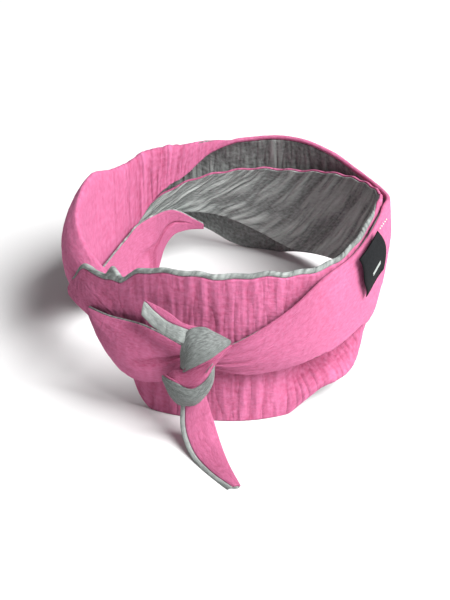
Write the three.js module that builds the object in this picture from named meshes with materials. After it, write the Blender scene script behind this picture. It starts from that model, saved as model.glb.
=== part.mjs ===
// Knotted two-ply muslin headband, lying in a ring with its knot at the front (-Y).
// A long tapering cloth, pink face outside and grey lining inside, goes twice round the head:
// the inner wrap makes the tall front panel and the inner back, the outer wrap makes the right
// arm, the outer back and the rolled left side, and both ends meet in the knot.
// Millimetres, +Z up, origin under the middle of the whole headband on the surface it lies on.
import * as THREE from 'three';

// Driving dimensions
const RING_HALF_WIDTH = 92; // ring axis to the front panel's cloth, left and right
const RING_HALF_DEPTH = 84; // ring axis to the front panel's cloth, front and back
const RING_CENTRE = new THREE.Vector3(0, 24.4, 0); // the ring axis, behind the origin because of the tail
const PLY = 0.9; // one puffy double-gauze cloth
const PLY_GAP = 0.45; // air between touching cloths
const JOIN_GAP_DEG = 0.4; // gap between two stretches of one wrap
const RIGHT_JOIN_DEG = 66; // where both wraps pass the right corner
const BACK_JOIN_DEG = 176; // where the outer wrap starts to roll over its top edge
const ROLL_SPLIT = 0.55; // the rolled cloth is split below its crest, at this share of its width
const ROLL_GAP = 0.006; // half the gap there, as a share of the width
const DEGREES_PER_STEP = 6;
const NUMERIC_STEP = 0.002;

// Cloth stretches. Each row is one place along the wrap: the angle round the ring from the
// front towards the right, then points from the bottom hem to the top hem, each as
// [outward from the ring, height] of the pink face.
const INNER_WRAP = [
  [-67, [6, 49.5], [6.3, 51.5], [6.3, 53.5]],
  [-61, [5.2, 49], [5.8, 58], [5.6, 67]],
  [-55, [4.2, 48], [4.8, 63.5], [4.3, 79]],
  [-49, [3, 44], [3.5, 62], [2.5, 80]],
  [-40, [1.5, 31], [1, 56], [0.5, 79]],
  [-34, [2.5, 21], [0.5, 54], [0, 86]],
  [-31, [3.5, 10], [0.5, 51], [0, 90]],
  [-27, [3.5, 1.5], [0.5, 48], [0, 93]],
  [-22, [3.5, 0], [0.3, 48], [0, 95]],
  [-14, [3.5, 0], [0, 48], [0, 96]],
  [0, [4.5, 0], [0.5, 47], [0, 95]],
  [14, [5, 0], [0.5, 47], [0, 95]],
  [21, [4.5, 0], [0.5, 47], [0, 93]],
  [28, [3.5, 7], [0.5, 49], [0, 92]],
  [34, [3, 12], [0, 50], [0, 92]],
  [42, [3, 12.7], [0, 53], [0, 93]],
  [50, [2.5, 14.5], [0, 57], [0, 96]],
  [60, [0.5, 27], [-1, 64], [-1, 101]],
  [71, [-1, 32], [-1.5, 68], [-1.5, 104]],
  [90, [-2, 29], [-2, 62], [-2, 96]],
  [105, [-2.5, 25], [-3, 57], [-3, 90]],
  [120, [-2.5, 22], [-3, 53], [-3, 84]],
  [135, [-2.5, 18], [-3, 48], [-3, 78]],
  [150, [-2, 14], [-3, 43], [-3, 72]],
  [165, [-1.5, 22], [-3, 45.5], [-3, 69]],
  [180, [-1.5, 32], [-3, 48.5], [-3, 65]],
  [195, [-2.5, 38], [-3, 49], [-3, 60]],
  [210, [-3, 40], [-3, 46], [-3, 52]],
  [224, [-3, 33], [-3, 37.5], [-3, 42]],
];
const OUTER_WRAP = [
  [-2, [4.5, 37], [6, 38], [7.2, 40.5], [7.8, 43.5], [7.5, 46], [6.5, 48], [5, 50]],
  [8, [4.5, 36], [7.5, 36], [9.5, 40.5], [10.2, 46], [9.5, 51.5], [8, 56.5], [5.5, 60]],
  [20, [4.5, 37.5], [8.5, 37.5], [11, 44], [11.5, 51], [10.2, 59], [8, 66], [5.5, 72]],
  [32, [4.5, 41.5], [9, 42], [11, 50], [11, 60], [9.5, 70], [7.5, 79], [5, 86]],
  [48, [4, 43.5], [7.5, 46], [8.5, 56], [8, 66], [6.8, 76], [5.3, 84], [3.5, 92]],
  [59, [3, 36], [4.8, 43], [6.4, 54], [6.5, 66], [5.8, 78], [5, 89], [4, 100]],
  [71, [1.5, 33], [3, 44], [4.6, 55], [5.3, 67], [5.6, 79], [5.6, 91], [5, 102]],
  [90, [2, 28], [3, 39], [3.8, 50], [4.3, 61], [4.7, 72], [4.8, 83], [4, 93]],
  [105, [3.5, 20], [4.3, 31], [5, 43], [5, 54], [5, 66], [4.8, 77], [3.5, 88]],
  [120, [5, 15], [5.8, 27], [6, 39], [5.8, 51], [5.5, 63], [5, 75], [3, 87]],
  [135, [6.5, 11], [7, 24], [6.8, 37], [6.3, 50], [5.8, 63], [5, 76], [3, 90]],
  [150, [8.5, 5], [8.2, 18], [7.7, 32], [7, 47], [6.3, 62], [5.2, 77], [3, 92]],
  [160, [9.5, 0], [8.8, 16], [8, 32], [7.3, 48], [6.3, 64], [5, 79], [2.5, 91]],
  [169, [9.5, 0], [8.7, 16], [8, 33], [7.3, 50], [6, 66], [4.3, 80], [1, 89]],
  [177, [9.5, 4], [8.7, 20], [8.2, 37], [7.3, 54], [5.5, 71], [2.3, 84], [-2, 88]],
  [187, [9, 16], [9, 31], [8.5, 46], [7.3, 62], [5, 77], [0, 87], [-5, 81]],
  [198, [8.5, 27], [9.3, 40], [9, 54], [7.5, 69], [3, 83], [-4, 85], [-8, 68]],
  [206, [8.5, 25], [9.8, 38], [9.4, 53], [8, 69], [3.5, 83.5], [-4, 85], [-9, 63]],
  [212, [8.5, 12], [10, 31], [9.6, 51], [8, 69], [3.5, 83.5], [-4, 84.5], [-9.3, 58]],
  [217, [8, 2], [10.2, 26], [9.8, 49], [8, 67], [3.5, 81.5], [-4, 82.5], [-9.5, 51]],
  [224, [6.5, 5], [9.6, 27], [9.8, 48], [8, 65], [3, 78.5], [-4.5, 80], [-9.7, 41]],
  [232, [5, 8], [9, 29], [9.5, 50], [7.5, 67], [2.5, 79], [-5, 80], [-9.8, 28]],
  [244, [2, 12], [7, 32], [8, 52], [6.5, 70], [2, 84], [-6, 85], [-10, 22]],
  [260, [-2, 20], [4, 38], [6, 55], [5, 70], [0.5, 81], [-7, 82], [-10.8, 26]],
  [275, [-5, 28], [2.5, 42], [4.8, 56], [4, 69], [-1, 78.5], [-8, 79], [-11.5, 34]],
  [288, [-6, 38], [1, 47], [3.5, 57], [2.5, 67], [-2, 75], [-9, 76], [-12.5, 44]],
  [300, [-7, 47], [-2, 52], [-0.3, 59], [-1.5, 66], [-5.5, 71], [-11.5, 71], [-15, 54]],
  [312, [-10, 48], [-7.5, 51.5], [-6, 56], [-6.8, 61], [-10, 64.5], [-14, 65], [-17, 56]],
];
const LEFT_ARM = [
  [-51, [5.5, 51], [6.5, 51.5], [7, 53.5], [7, 55], [6.5, 56]],
  [-46, [5, 44], [8, 44], [10, 49.5], [9, 54.5], [6.5, 57.5]],
  [-40, [5, 35.5], [10, 35.5], [12.5, 45.5], [10, 54.5], [6, 58.5]],
  [-34, [5, 28], [11, 28.5], [14.5, 41.5], [11.5, 54], [5.5, 60]],
  [-28, [5, 26], [11.5, 26.5], [15, 40.5], [11.5, 53.5], [5.5, 60.5]],
  [-22, [5, 27.5], [10.5, 28], [13.5, 40.5], [10.5, 52.5], [5.5, 58.5]],
  [-17, [5, 31], [9, 31.5], [10.5, 41.5], [8.5, 50.5], [5.5, 55]],
  [-13.5, [4.5, 36], [6, 36.5], [6.8, 42.5], [6.2, 48], [4.5, 51]],
];
// This stretch is turned up inside the ring, so its pink face looks inwards.
const INNER_LEFT_FOLD = [
  [-170, [-10, 26.5], [-10, 27.5], [-10, 28.5]],
  [-165, [-10.5, 27.5], [-10.5, 31], [-10.5, 34]],
  [-160, [-11.5, 28], [-11.5, 34], [-11.5, 40]],
  [-154, [-12.5, 26], [-12.8, 35.5], [-12.8, 45]],
  [-149, [-13, 17], [-13.5, 31], [-13.5, 45.5]],
  [-145, [-13.5, 2], [-14, 23], [-14, 45]],
  [-134, [-14, 1], [-14.5, 21], [-14.3, 42]],
  [-126, [-14.5, 2], [-15, 20], [-14.8, 37]],
  [-114, [-15, 6], [-15.6, 20], [-15.3, 33]],
  [-100, [-15.5, 14], [-16, 24], [-15.8, 34]],
  [-88, [-16, 26], [-16.5, 33], [-16.3, 40]],
];

// Tails: centre line [x, y, height] from the ring axis, and the width there.
const LONG_TAIL = [
  [-16.5, -103.5, 24, 14],
  [-14.5, -108, 12, 17],
  [-10.5, -117, 5.6, 16],
  [-4.5, -128, 3.4, 12],
  [4.5, -141.5, 3.0, 6],
];
const SHORT_TAIL = [
  [-24, -96, 70.3, 7.5],
  [-29, -93.3, 71.9, 8.5],
  [-36, -88.5, 74, 8],
  [-43, -84, 76.5, 5],
];
const LONG_TAIL_SIDE = new THREE.Vector3(0.94, 0.24, 0.24); // across the tail, to its right edge
const SHORT_TAIL_SIDE = new THREE.Vector3(-0.18, -0.55, -0.82); // to its lower edge

// Knot: three loops pulled tight across each other, from the ring axis, top one first.
const KNOT_LOOPS = [
  { place: 'upper', centre: [-12.5, -97.5, 59.5], halfSizes: [12, 6.5, 9.5], tiltDeg: 38, ply: 'lining' },
  { place: 'middle', centre: [-16.5, -98.5, 43.6], halfSizes: [12.5, 7.5, 5.4], tiltDeg: 14, ply: 'face' },
  { place: 'lower', centre: [-17, -98.5, 31.4], halfSizes: [12, 7, 5.4], tiltDeg: 10, ply: 'lining' },
];
const LOOP_SEGMENTS = [14, 10]; // round the loop and over it

// Label: a folded tape caught in the outer wrap's top hem at the right, hanging outside it.
const LABEL_HEM_LEFT = [46.5, 6.5, 92]; // angle, outward, height of the two ends of its sewn edge
const LABEL_HEM_RIGHT = [56.5, 6.5, 102];
const LABEL_LEAN_DEG = -9; // its free end stands out from the cloth
const LABEL_SKEW = 9.5; // how far its free end is shifted along the hem, to the left
const LABEL_THICK = 1;
const LABEL_LENGTH = 25;
const LABEL_MARK = { width: 7, height: 1.6, thick: 0.5, across: 1, up: 10 };
const LABEL_STITCH = { length: 15, thick: 0.5, up: 3 };
const CLOSING_STITCH = { from: [59, 5.6, 101], to: [66, 5.4, 102], thick: 0.6 };
const SURFACE_GAP = 0.3; // between a piece and what it lies on

const COLOURS = {
  face: 0xe873ac,
  lining: 0x9aa79f,
  label: 0x2a2c2e,
  thread: 0x1d1e20,
  cream: 0xe9dfc6,
};

const headband = new THREE.Group();

function material(colour) {
  return new THREE.MeshStandardMaterial({ color: COLOURS[colour], roughness: 0.9, metalness: 0 });
}

function addPiece(name, geometry, colour) {
  const mesh = new THREE.Mesh(geometry, material(colour));
  mesh.name = name;
  headband.add(mesh);
  return mesh;
}

function ringPoint(angle, out, height) {
  const turn = THREE.MathUtils.degToRad(angle);
  return new THREE.Vector3(
    (RING_HALF_WIDTH + out) * Math.sin(turn),
    -(RING_HALF_DEPTH + out) * Math.cos(turn),
    height,
  ).add(RING_CENTRE);
}

function catmullRom(before, start, end, after, u) {
  const slopeStart = (end - before) / 2;
  const slopeEnd = (after - start) / 2;
  const u2 = u * u;
  const u3 = u2 * u;
  return (2 * u3 - 3 * u2 + 1) * start + (u3 - 2 * u2 + u) * slopeStart
    + (-2 * u3 + 3 * u2) * end + (u3 - u2) * slopeEnd;
}

// A smooth value through a list of numbers, u from 0 to 1 over the whole list.
function smoothThrough(values, u) {
  const last = values.length - 1;
  const place = THREE.MathUtils.clamp(u, 0, 1) * last;
  const i = Math.min(Math.floor(place), last - 1);
  const [before, start, end, after] = [i - 1, i, i + 1, i + 2]
    .map((k) => values[THREE.MathUtils.clamp(k, 0, last)]);
  return catmullRom(before, start, end, after, place - i);
}

// The point of a wrap's face at an angle, across from the bottom hem (0) to the top hem (1).
function wrapPoint(rows, angle, across) {
  const last = rows.length - 1;
  let i = 0;
  while (i < last - 1 && rows[i + 1][0] <= angle) i += 1;
  const u = (angle - rows[i][0]) / (rows[i + 1][0] - rows[i][0]);
  const near = [Math.max(i - 1, 0), i, i + 1, Math.min(i + 2, last)].map((k) => {
    const points = rows[k].slice(1);
    return [0, 1].map((axis) => smoothThrough(points.map((point) => point[axis]), across));
  });
  const [out, height] = [0, 1].map((axis) => catmullRom(...near.map((values) => values[axis]), u));
  return ringPoint(angle, out, height);
}

// One closed cloth solid: a sheet given by pointAt(s, t), s and t from 0 to 1, thickened
// along its normal from one depth to another. Positive depth is into the cloth. Nothing goes
// below the surface that the headband lies on, so its lowest hems are flat there.
function clothSolid(pointAt, alongSteps, acrossSteps, depthFrom, depthTo) {
  const corners = [];
  const columns = acrossSteps + 1;
  const layer = (alongSteps + 1) * columns;
  for (const depth of [depthFrom, depthTo]) {
    for (let i = 0; i <= alongSteps; i += 1) {
      for (let j = 0; j <= acrossSteps; j += 1) {
        const s = i / alongSteps;
        const t = j / acrossSteps;
        const alongDir = pointAt(s + NUMERIC_STEP, t).sub(pointAt(s - NUMERIC_STEP, t));
        const acrossDir = pointAt(s, t + NUMERIC_STEP).sub(pointAt(s, t - NUMERIC_STEP));
        const normal = alongDir.cross(acrossDir).normalize();
        const corner = pointAt(s, t).addScaledVector(normal, -depth);
        corner.z = Math.max(corner.z, 0);
        corners.push(corner);
      }
    }
  }
  const index = [];
  const quad = (a, b, c, d) => index.push(a, b, c, a, c, d);
  for (let i = 0; i < alongSteps; i += 1) {
    for (let j = 0; j < acrossSteps; j += 1) {
      const a = i * columns + j;
      quad(a, a + columns, a + columns + 1, a + 1);
      quad(layer + a, layer + a + 1, layer + a + columns + 1, layer + a + columns);
    }
  }
  for (let i = 0; i < alongSteps; i += 1) {
    const low = i * columns;
    const high = low + acrossSteps;
    quad(low, layer + low, layer + low + columns, low + columns);
    quad(high, high + columns, layer + high + columns, layer + high);
  }
  for (let j = 0; j < acrossSteps; j += 1) {
    const end = alongSteps * columns + j;
    quad(j, j + 1, layer + j + 1, layer + j);
    quad(end, layer + end, layer + end + 1, end + 1);
  }
  const geometry = new THREE.BufferGeometry().setFromPoints(corners);
  geometry.setIndex(index);
  geometry.computeVertexNormals();
  return geometry;
}

// The face and lining plies of one stretch of a wrap, from one angle to another.
// side is 1 where the face looks outwards and -1 where it looks inwards. across is the
// share of the cloth's width that the stretch takes, from the bottom hem up.
function addStretch(name, rows, [fromAngle, toAngle], acrossSteps, { side = 1, across = [0, 1] } = {}) {
  const { lerp } = THREE.MathUtils;
  const steps = Math.ceil((toAngle - fromAngle) / DEGREES_PER_STEP);
  const angleAt = (s) => lerp(fromAngle, toAngle, side > 0 ? s : 1 - s);
  const pointAt = (s, t) => wrapPoint(rows, angleAt(s), lerp(...across, t));
  for (const [ply, depth] of [['face', 0], ['lining', PLY + PLY_GAP]]) {
    addPiece(`${name}_${ply}`, clothSolid(pointAt, steps, acrossSteps, depth, depth + PLY), ply);
  }
}

// A flat ribbon round a centre line; its face looks along (direction of travel x side).
function addTail(name, rows, side) {
  const across = side.clone().normalize();
  const column = (axis) => rows.map((row) => row[axis]);
  const pointAt = (s, t) => {
    const centre = new THREE.Vector3(...[0, 1, 2].map((axis) => smoothThrough(column(axis), s)));
    const width = smoothThrough(column(3), s);
    return centre.addScaledVector(across, (t - 0.5) * width).add(RING_CENTRE);
  };
  const steps = (rows.length - 1) * 3;
  addPiece(`${name}_face`, clothSolid(pointAt, steps, 2, 0, PLY), 'face');
  addPiece(`${name}_lining`, clothSolid(pointAt, steps, 2, PLY + PLY_GAP, 2 * PLY + PLY_GAP), 'lining');
}

// A soft pad of cloth pulled tight in the knot: an ellipsoid, tilted about the outward direction.
function addKnotLoop({ place, centre, halfSizes, tiltDeg, ply }) {
  const geometry = new THREE.SphereGeometry(1, ...LOOP_SEGMENTS);
  geometry.scale(...halfSizes);
  geometry.rotateY(THREE.MathUtils.degToRad(tiltDeg));
  const mesh = addPiece(`knot_${place}_loop`, geometry, ply);
  mesh.position.set(...centre).add(RING_CENTRE);
}

// A turned group at the middle of the label's sewn edge: X along the hem, Y into the cloth, Z up the tape.
function labelFrame() {
  const left = ringPoint(...LABEL_HEM_LEFT);
  const right = ringPoint(...LABEL_HEM_RIGHT);
  const along = right.clone().sub(left).normalize();
  const middle = left.clone().add(right).multiplyScalar(0.5);
  const inward = RING_CENTRE.clone().sub(middle).setZ(0).normalize();
  inward.addScaledVector(along, -inward.dot(along)).normalize();
  const up = along.clone().cross(inward);
  const frame = new THREE.Group();
  frame.quaternion.setFromRotationMatrix(new THREE.Matrix4().makeBasis(along, inward, up));
  frame.rotateX(THREE.MathUtils.degToRad(LABEL_LEAN_DEG));
  frame.position.copy(middle);
  headband.add(frame);
  return { frame, width: left.distanceTo(right) };
}

// A plain bar is printed on the tape, and a straight line of thread holds its fold.
function addLabel() {
  const { frame, width } = labelFrame();
  const half = width / 2;
  const skewAt = (up) => -LABEL_SKEW * (1 - up / LABEL_LENGTH);
  const [freeLeft, freeRight] = [skewAt(0) - half, skewAt(0) + half];
  const corners = [[-half, 0], [freeLeft, -LABEL_LENGTH], [freeRight, -LABEL_LENGTH], [half, 0]];
  const outline = new THREE.Shape(corners.map(([x, y]) => new THREE.Vector2(x, y)));
  const tapeShape = new THREE.ExtrudeGeometry(outline, { depth: LABEL_THICK, bevelEnabled: false });
  const tape = addPiece('label_tape', tapeShape, 'label');
  tape.rotation.x = Math.PI / 2;
  tape.position.y = LABEL_THICK / 2;
  const front = -LABEL_THICK / 2 - SURFACE_GAP;
  const markShape = new THREE.BoxGeometry(LABEL_MARK.width, LABEL_MARK.thick, LABEL_MARK.height);
  const mark = addPiece('label_mark', markShape, 'lining');
  const markAcross = LABEL_MARK.across + skewAt(LABEL_MARK.up);
  mark.position.set(markAcross, front - LABEL_MARK.thick / 2, LABEL_MARK.up - LABEL_LENGTH);
  const { length, thick, up } = LABEL_STITCH;
  const stitch = addPiece('label_stitch', new THREE.BoxGeometry(length, thick, thick), 'thread');
  stitch.position.set(skewAt(up), front - thick / 2, up - LABEL_LENGTH);
  frame.add(tape, mark, stitch);
}

// The short straight line of pale thread that closes the seam beside the label.
function addClosingStitch() {
  const from = ringPoint(...CLOSING_STITCH.from);
  const to = ringPoint(...CLOSING_STITCH.to);
  const path = new THREE.LineCurve3(from, to);
  const half = CLOSING_STITCH.thick / 2;
  const section = new THREE.Shape([[-half, -half], [half, -half], [half, half], [-half, half]]
    .map(([x, y]) => new THREE.Vector2(x, y)));
  addPiece('closing_stitch', new THREE.ExtrudeGeometry(section, { steps: 1, extrudePath: path }), 'cream');
}

// The first and last angle of a row table.
const ends = (rows) => [rows[0][0], rows[rows.length - 1][0]];

function addWraps() {
  const [innerStart, innerEnd] = ends(INNER_WRAP);
  const [outerStart, outerEnd] = ends(OUTER_WRAP);
  const afterRight = RIGHT_JOIN_DEG + JOIN_GAP_DEG;
  const afterBack = BACK_JOIN_DEG + JOIN_GAP_DEG;
  addStretch('front_panel', INNER_WRAP, [innerStart, RIGHT_JOIN_DEG], 4);
  addStretch('back_inner_wrap', INNER_WRAP, [afterRight, innerEnd], 4);
  addStretch('right_arm', OUTER_WRAP, [outerStart, RIGHT_JOIN_DEG], 6);
  addStretch('back_outer_wrap', OUTER_WRAP, [afterRight, BACK_JOIN_DEG], 5);
  addStretch('left_wrap', OUTER_WRAP, [afterBack, outerEnd], 6, { across: [0, ROLL_SPLIT - ROLL_GAP] });
  addStretch('left_roll', OUTER_WRAP, [afterBack, outerEnd], 8, { across: [ROLL_SPLIT + ROLL_GAP, 1] });
  addStretch('left_arm', LEFT_ARM, ends(LEFT_ARM), 6);
  addStretch('inner_left_fold', INNER_LEFT_FOLD, ends(INNER_LEFT_FOLD), 4, { side: -1 });
}

addWraps();
KNOT_LOOPS.forEach(addKnotLoop);
addTail('long_tail', LONG_TAIL, LONG_TAIL_SIDE);
addTail('short_tail', SHORT_TAIL, SHORT_TAIL_SIDE);
addLabel();
addClosingStitch();

export default headband;
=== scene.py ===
# Knotted two-ply muslin headband, lying in a ring with its knot at the front (-Y).
# Every stretch of cloth is a mid surface with a pink face ply and a grey lining ply wrapped
# round it. The plies meet at rolled, stitched hems, and pleats are pressed into their meshes.
import math

import bpy
import numpy as np
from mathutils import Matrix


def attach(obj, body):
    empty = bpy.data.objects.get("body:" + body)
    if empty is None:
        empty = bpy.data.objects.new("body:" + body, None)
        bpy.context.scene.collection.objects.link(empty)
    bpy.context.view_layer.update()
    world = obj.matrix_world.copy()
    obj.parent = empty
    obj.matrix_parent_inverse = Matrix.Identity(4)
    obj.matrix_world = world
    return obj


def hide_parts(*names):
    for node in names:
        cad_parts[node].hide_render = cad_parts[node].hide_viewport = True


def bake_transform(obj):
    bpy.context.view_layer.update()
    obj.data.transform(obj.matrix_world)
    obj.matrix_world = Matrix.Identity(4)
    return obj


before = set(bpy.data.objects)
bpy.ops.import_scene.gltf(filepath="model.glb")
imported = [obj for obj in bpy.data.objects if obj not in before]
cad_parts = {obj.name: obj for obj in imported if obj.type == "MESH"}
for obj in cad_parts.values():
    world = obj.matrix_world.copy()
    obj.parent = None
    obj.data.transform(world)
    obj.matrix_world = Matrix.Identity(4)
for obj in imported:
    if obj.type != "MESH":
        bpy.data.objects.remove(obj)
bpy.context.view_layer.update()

MM = 0.001
RING_HALF_WIDTH = 92  # ring axis to the front panel's cloth, left and right, mm
RING_HALF_DEPTH = 84  # ring axis to the front panel's cloth, front and back, mm
RING_CENTRE = np.array([0, 24.4, 0])
CLOTH_THICK = 2.6  # both plies together, at the rolled hem
INNER_RADIUS = 0.12  # half the air between the two plies
GRID_STEP = 0.95  # size of a mesh cell, mm
TAIL_STEP = 0.6 * GRID_STEP
LOOP_STEP = 0.5 * GRID_STEP
TAIL_POINTS = 25  # points across the mid surface of a tail, and of a knot loop
LOOP_POINTS = 33
PROFILE_DETAIL = 3  # a section is worked out this much finer than the mesh
HEM_CELLS = 12  # extra cells for going round the two hems
SEAM_CROWDING = 0.22  # how much closer together the cells lie near the seams
SEAM_ROUND = 1.1  # how far from the seam a ply starts to round off
SEAM_THINNESS = 0.45  # thickness left at the seam itself
HEM_CALM = 0.15  # share of the pleats left at the hems
BAND_WIDTH = 92  # the band laid flat, mm

# Each row: the angle round the ring from the front towards the right, then points from the
# bottom hem to the top hem as [outward from the ring, height], in mm.
INNER_WRAP = [
    [-67, [6, 49.5], [6.3, 51.5], [6.3, 53.5]],
    [-61, [5.2, 49], [5.8, 58], [5.6, 67]],
    [-55, [4.2, 48], [4.8, 63.5], [4.3, 79]],
    [-49, [3, 44], [3.5, 62], [2.5, 80]],
    [-40, [1.5, 31], [1, 56], [0.5, 79]],
    [-34, [2.5, 21], [0.5, 54], [0, 86]],
    [-31, [3.5, 10], [0.5, 51], [0, 90]],
    [-27, [3.5, 1.5], [0.5, 48], [0, 93]],
    [-22, [3.5, 0], [0.3, 48], [0, 95]],
    [-14, [3.5, 0], [0, 48], [0, 96]],
    [0, [4.5, 0], [0.5, 47], [0, 95]],
    [14, [5, 0], [0.5, 47], [0, 95]],
    [21, [4.5, 0], [0.5, 47], [0, 93]],
    [28, [3.5, 7], [0.5, 49], [0, 92]],
    [34, [3, 12], [0, 50], [0, 92]],
    [42, [3, 12.7], [0, 53], [0, 93]],
    [50, [2.5, 14.5], [0, 57], [0, 96]],
    [60, [0.5, 27], [-1, 64], [-1, 101]],
    [71, [-1, 32], [-1.5, 68], [-1.5, 104]],
    [90, [-2, 29], [-2, 62], [-2, 96]],
    [105, [-2.5, 25], [-3, 57], [-3, 90]],
    [120, [-2.5, 22], [-3, 53], [-3, 84]],
    [135, [-2.5, 18], [-3, 48], [-3, 78]],
    [150, [-2, 14], [-3, 43], [-3, 72]],
    [165, [-1.5, 22], [-3, 45.5], [-3, 69]],
    [180, [-1.5, 32], [-3, 48.5], [-3, 65]],
    [195, [-2.5, 38], [-3, 49], [-3, 60]],
    [210, [-3, 40], [-3, 46], [-3, 52]],
    [224, [-3, 33], [-3, 37.5], [-3, 42]],
]
OUTER_WRAP = [
    [-2, [4.5, 37], [6, 38], [7.2, 40.5], [7.8, 43.5], [7.5, 46], [6.5, 48], [5, 50]],
    [8, [4.5, 36], [7.5, 36], [9.5, 40.5], [10.2, 46], [9.5, 51.5], [8, 56.5], [5.5, 60]],
    [20, [4.5, 37.5], [8.5, 37.5], [11, 44], [11.5, 51], [10.2, 59], [8, 66], [5.5, 72]],
    [32, [4.5, 41.5], [9, 42], [11, 50], [11, 60], [9.5, 70], [7.5, 79], [5, 86]],
    [48, [4, 43.5], [7.5, 46], [8.5, 56], [8, 66], [6.8, 76], [5.3, 84], [3.5, 92]],
    [59, [3, 36], [4.8, 43], [6.4, 54], [6.5, 66], [5.8, 78], [5, 89], [4, 100]],
    [71, [1.5, 33], [3, 44], [4.6, 55], [5.3, 67], [5.6, 79], [5.6, 91], [5, 102]],
    [90, [2, 28], [3, 39], [3.8, 50], [4.3, 61], [4.7, 72], [4.8, 83], [4, 93]],
    [105, [3.5, 20], [4.3, 31], [5, 43], [5, 54], [5, 66], [4.8, 77], [3.5, 88]],
    [120, [5, 15], [5.8, 27], [6, 39], [5.8, 51], [5.5, 63], [5, 75], [3, 87]],
    [135, [6.5, 11], [7, 24], [6.8, 37], [6.3, 50], [5.8, 63], [5, 76], [3, 90]],
    [150, [8.5, 5], [8.2, 18], [7.7, 32], [7, 47], [6.3, 62], [5.2, 77], [3, 92]],
    [160, [9.5, 0], [8.8, 16], [8, 32], [7.3, 48], [6.3, 64], [5, 79], [2.5, 91]],
    [169, [9.5, 0], [8.7, 16], [8, 33], [7.3, 50], [6, 66], [4.3, 80], [1, 89]],
    [177, [9.5, 4], [8.7, 20], [8.2, 37], [7.3, 54], [5.5, 71], [2.3, 84], [-2, 88]],
    [187, [9, 16], [9, 31], [8.5, 46], [7.3, 62], [5, 77], [0, 87], [-5, 81]],
    [198, [8.5, 27], [9.3, 40], [9, 54], [7.5, 69], [3, 83], [-4, 85], [-8, 68]],
    [206, [8.5, 25], [9.8, 38], [9.4, 53], [8, 69], [3.5, 83.5], [-4, 85], [-9, 63]],
    [212, [8.5, 12], [10, 31], [9.6, 51], [8, 69], [3.5, 83.5], [-4, 84.5], [-9.3, 58]],
    [217, [8, 2], [10.2, 26], [9.8, 49], [8, 67], [3.5, 81.5], [-4, 82.5], [-9.5, 51]],
    [224, [6.5, 5], [9.6, 27], [9.8, 48], [8, 65], [3, 78.5], [-4.5, 80], [-9.7, 41]],
    [232, [5, 8], [9, 29], [9.5, 50], [7.5, 67], [2.5, 79], [-5, 80], [-9.8, 28]],
    [244, [2, 12], [7, 32], [8, 52], [6.5, 70], [2, 84], [-6, 85], [-10, 22]],
    [260, [-2, 20], [4, 38], [6, 55], [5, 70], [0.5, 81], [-7, 82], [-10.8, 26]],
    [275, [-5, 28], [2.5, 42], [4.8, 56], [4, 69], [-1, 78.5], [-8, 79], [-11.5, 34]],
    [288, [-6, 38], [1, 47], [3.5, 57], [2.5, 67], [-2, 75], [-9, 76], [-12.5, 44]],
    [300, [-7, 47], [-2, 52], [-0.3, 59], [-1.5, 66], [-5.5, 71], [-11.5, 71], [-15, 54]],
    [312, [-10, 48], [-7.5, 51.5], [-6, 56], [-6.8, 61], [-10, 64.5], [-14, 65], [-17, 56]],
]
LEFT_ARM = [
    [-51, [5.5, 51], [6.5, 51.5], [7, 53.5], [7, 55], [6.5, 56]],
    [-46, [5, 44], [8, 44], [10, 49.5], [9, 54.5], [6.5, 57.5]],
    [-40, [5, 35.5], [10, 35.5], [12.5, 45.5], [10, 54.5], [6, 58.5]],
    [-34, [5, 28], [11, 28.5], [14.5, 41.5], [11.5, 54], [5.5, 60]],
    [-28, [5, 26], [11.5, 26.5], [15, 40.5], [11.5, 53.5], [5.5, 60.5]],
    [-22, [5, 27.5], [10.5, 28], [13.5, 40.5], [10.5, 52.5], [5.5, 58.5]],
    [-17, [5, 31], [9, 31.5], [10.5, 41.5], [8.5, 50.5], [5.5, 55]],
    [-13.5, [4.5, 36], [6, 36.5], [6.8, 42.5], [6.2, 48], [4.5, 51]],
]
INNER_LEFT_FOLD = [
    [-170, [-10, 26.5], [-10, 27.5], [-10, 28.5]],
    [-165, [-10.5, 27.5], [-10.5, 31], [-10.5, 34]],
    [-160, [-11.5, 28], [-11.5, 34], [-11.5, 40]],
    [-154, [-12.5, 26], [-12.8, 35.5], [-12.8, 45]],
    [-149, [-13, 17], [-13.5, 31], [-13.5, 45.5]],
    [-145, [-13.5, 2], [-14, 23], [-14, 45]],
    [-134, [-14, 1], [-14.5, 21], [-14.3, 42]],
    [-126, [-14.5, 2], [-15, 20], [-14.8, 37]],
    [-114, [-15, 6], [-15.6, 20], [-15.3, 33]],
    [-100, [-15.5, 14], [-16, 24], [-15.8, 34]],
    [-88, [-16, 26], [-16.5, 33], [-16.3, 40]],
]
# Tails: centre line [x, y, height] from the ring axis, and the width there.
LONG_TAIL = [
    [-16.5, -103.5, 24, 14],
    [-14.5, -108, 12, 17],
    [-10.5, -117, 5.6, 16],
    [-4.5, -128, 3.4, 12],
    [4.5, -141.5, 3.0, 6],
]
LONG_TAIL_SIDE = (0.94, 0.24, 0.24)
SHORT_TAIL = [
    [-24, -96.5, 69.6, 9],
    [-29, -94, 71.2, 10.5],
    [-36, -89.2, 73.3, 10],
    [-43.5, -84.4, 76.2, 7],
]
SHORT_TAIL_SIDE = (-0.18, -0.55, -0.82)
# Where the tails come out from under the knot, before the rows above.
LONG_TAIL_ROOT = [-17.5, -99, 33, 11]
SHORT_TAIL_ROOT = [-15, -96.5, 65.8, 9.5]
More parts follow.
